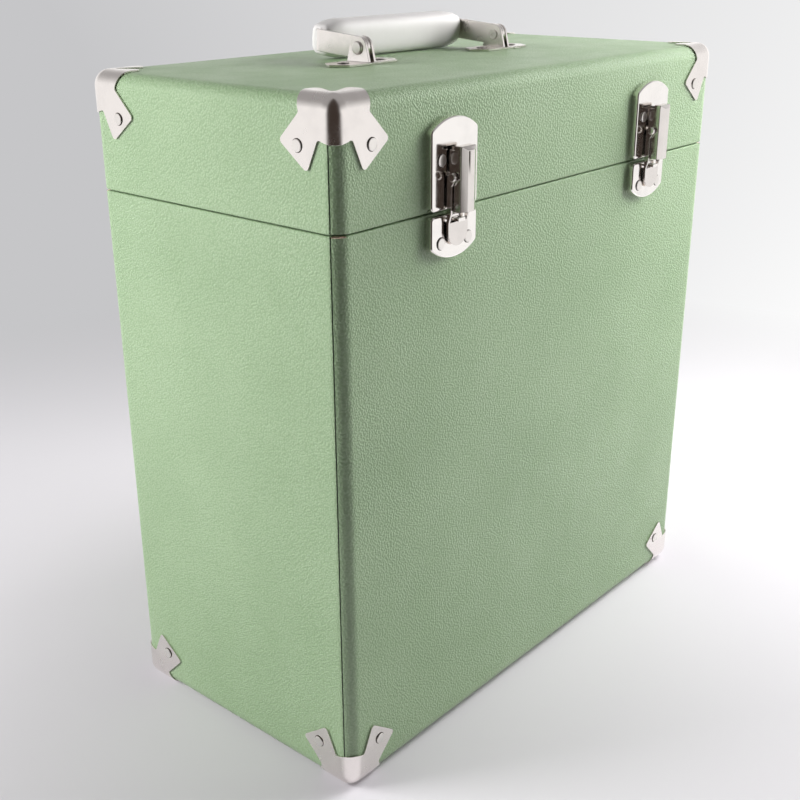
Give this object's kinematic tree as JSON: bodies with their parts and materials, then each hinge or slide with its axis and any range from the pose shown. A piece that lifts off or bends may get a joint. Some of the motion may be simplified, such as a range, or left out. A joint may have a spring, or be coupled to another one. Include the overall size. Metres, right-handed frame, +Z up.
{
  "type": "record carrying case",
  "caption": "Upright cloth-covered carrying case for records: deep hinged lid, stamped metal corners, two toggle latches on the front and a folding strap handle.",
  "frame": {"origin": "on the ground under the middle of the case, level with the undersides of the bottom metal corners", "axes": "+X along the front to the right as seen from the front, +Y from the latches towards the hinges, +Z up"},
  "size_m": [0.3448, 0.199, 0.3818],
  "materials": {
    "covering": "fine pebble grain, satin",
    "case_board": "raw board",
    "liner_board": "matte",
    "lining_paper": "matte",
    "corner_metal": "satin nickel plate",
    "latch_metal": "polished nickel plate",
    "hinge_metal": "satin nickel plate",
    "bracket_metal": "polished nickel plate",
    "strap_metal": "satin nickel plate",
    "rivet_metal": "nickel plate",
    "grip_plastic": "satin"
  },
  "bodies": {
    "case_body": {"base_board": "case_board", "body_back_board": "case_board", "body_corner_rivets": "rivet_metal", "body_cover": "covering", "body_front_board": "case_board", "body_left_board": "case_board", "body_right_board": "case_board", "bottom_corner_back_left": "corner_metal", "bottom_corner_back_right": "corner_metal", "bottom_corner_front_left": "corner_metal", "bottom_corner_front_right": "corner_metal", "hinge_body_rivets": "rivet_metal", "hinge_lower_leaf_left": "hinge_metal", "hinge_lower_leaf_right": "hinge_metal", "hinge_pin_left": "rivet_metal", "hinge_pin_right": "rivet_metal", "latch_keeper_left": "latch_metal", "latch_keeper_right": "latch_metal", "latch_keeper_rivets": "rivet_metal", "liner_back": "liner_board", "liner_floor": "liner_board", "liner_front": "liner_board", "liner_left": "liner_board", "liner_right": "liner_board"},
    "lid": {"handle_bracket_left": "bracket_metal", "handle_bracket_right": "bracket_metal", "handle_bracket_rivets": "rivet_metal", "handle_pivot_rivet_left": "rivet_metal", "handle_pivot_rivet_right": "rivet_metal", "hinge_lid_rivets": "rivet_metal", "hinge_upper_leaf_left": "hinge_metal", "hinge_upper_leaf_right": "hinge_metal", "latch_lever_pin_left": "rivet_metal", "latch_lever_pin_right": "rivet_metal", "latch_plate_left": "latch_metal", "latch_plate_right": "latch_metal", "latch_plate_rivets": "rivet_metal", "lid_back_board": "case_board", "lid_corner_rivets": "rivet_metal", "lid_cover": "covering", "lid_front_board": "case_board", "lid_left_board": "case_board", "lid_lining": "lining_paper", "lid_right_board": "case_board", "lid_top_board": "case_board", "top_corner_back_left": "corner_metal", "top_corner_back_right": "corner_metal", "top_corner_front_left": "corner_metal", "top_corner_front_right": "corner_metal"},
    "handle": {"handle_strap": "strap_metal", "handle_grip": "grip_plastic"},
    "lever_left": {"latch_lever_left": "latch_metal", "latch_hook_pin_left": "rivet_metal"},
    "hook_left": {"latch_hook_left": "latch_metal"},
    "lever_right": {"latch_lever_right": "latch_metal", "latch_hook_pin_right": "rivet_metal"},
    "hook_right": {"latch_hook_right": "latch_metal"}
  },
  "joints": [
    {"name": "lid_hinge", "type": "hinge", "parent": "case_body", "child": "lid", "pos_m": [0, 0.0896, 0.30085], "axis": [-1, 0, 0], "range_deg": [0, 105]},
    {"name": "handle_swing", "type": "hinge", "parent": "lid", "child": "handle", "pos_m": [0, 0, 0.36905], "axis": [1, 0, 0], "range_deg": [0, 171]},
    {"name": "lever_left_swing", "type": "hinge", "parent": "lid", "child": "lever_left", "pos_m": [-0.0928, -0.095, 0.30445], "axis": [1, 0, 0], "range_deg": [0, 95]},
    {"name": "hook_left_swing", "type": "hinge", "parent": "lever_left", "child": "hook_left", "pos_m": [-0.0928, -0.0942, 0.31805], "axis": [1, 0, 0], "range_deg": [-95, 0]},
    {"name": "lever_right_swing", "type": "hinge", "parent": "lid", "child": "lever_right", "pos_m": [0.0928, -0.095, 0.30445], "axis": [1, 0, 0], "range_deg": [0, 95]},
    {"name": "hook_right_swing", "type": "hinge", "parent": "lever_right", "child": "hook_right", "pos_m": [0.0928, -0.0942, 0.31805], "axis": [1, 0, 0], "range_deg": [-95, 0]}
  ],
  "couplings": [
    {"joint": "hook_left_swing", "follows": "lever_left_swing", "ratio": -1},
    {"joint": "hook_right_swing", "follows": "lever_right_swing", "ratio": -1}
  ]
}
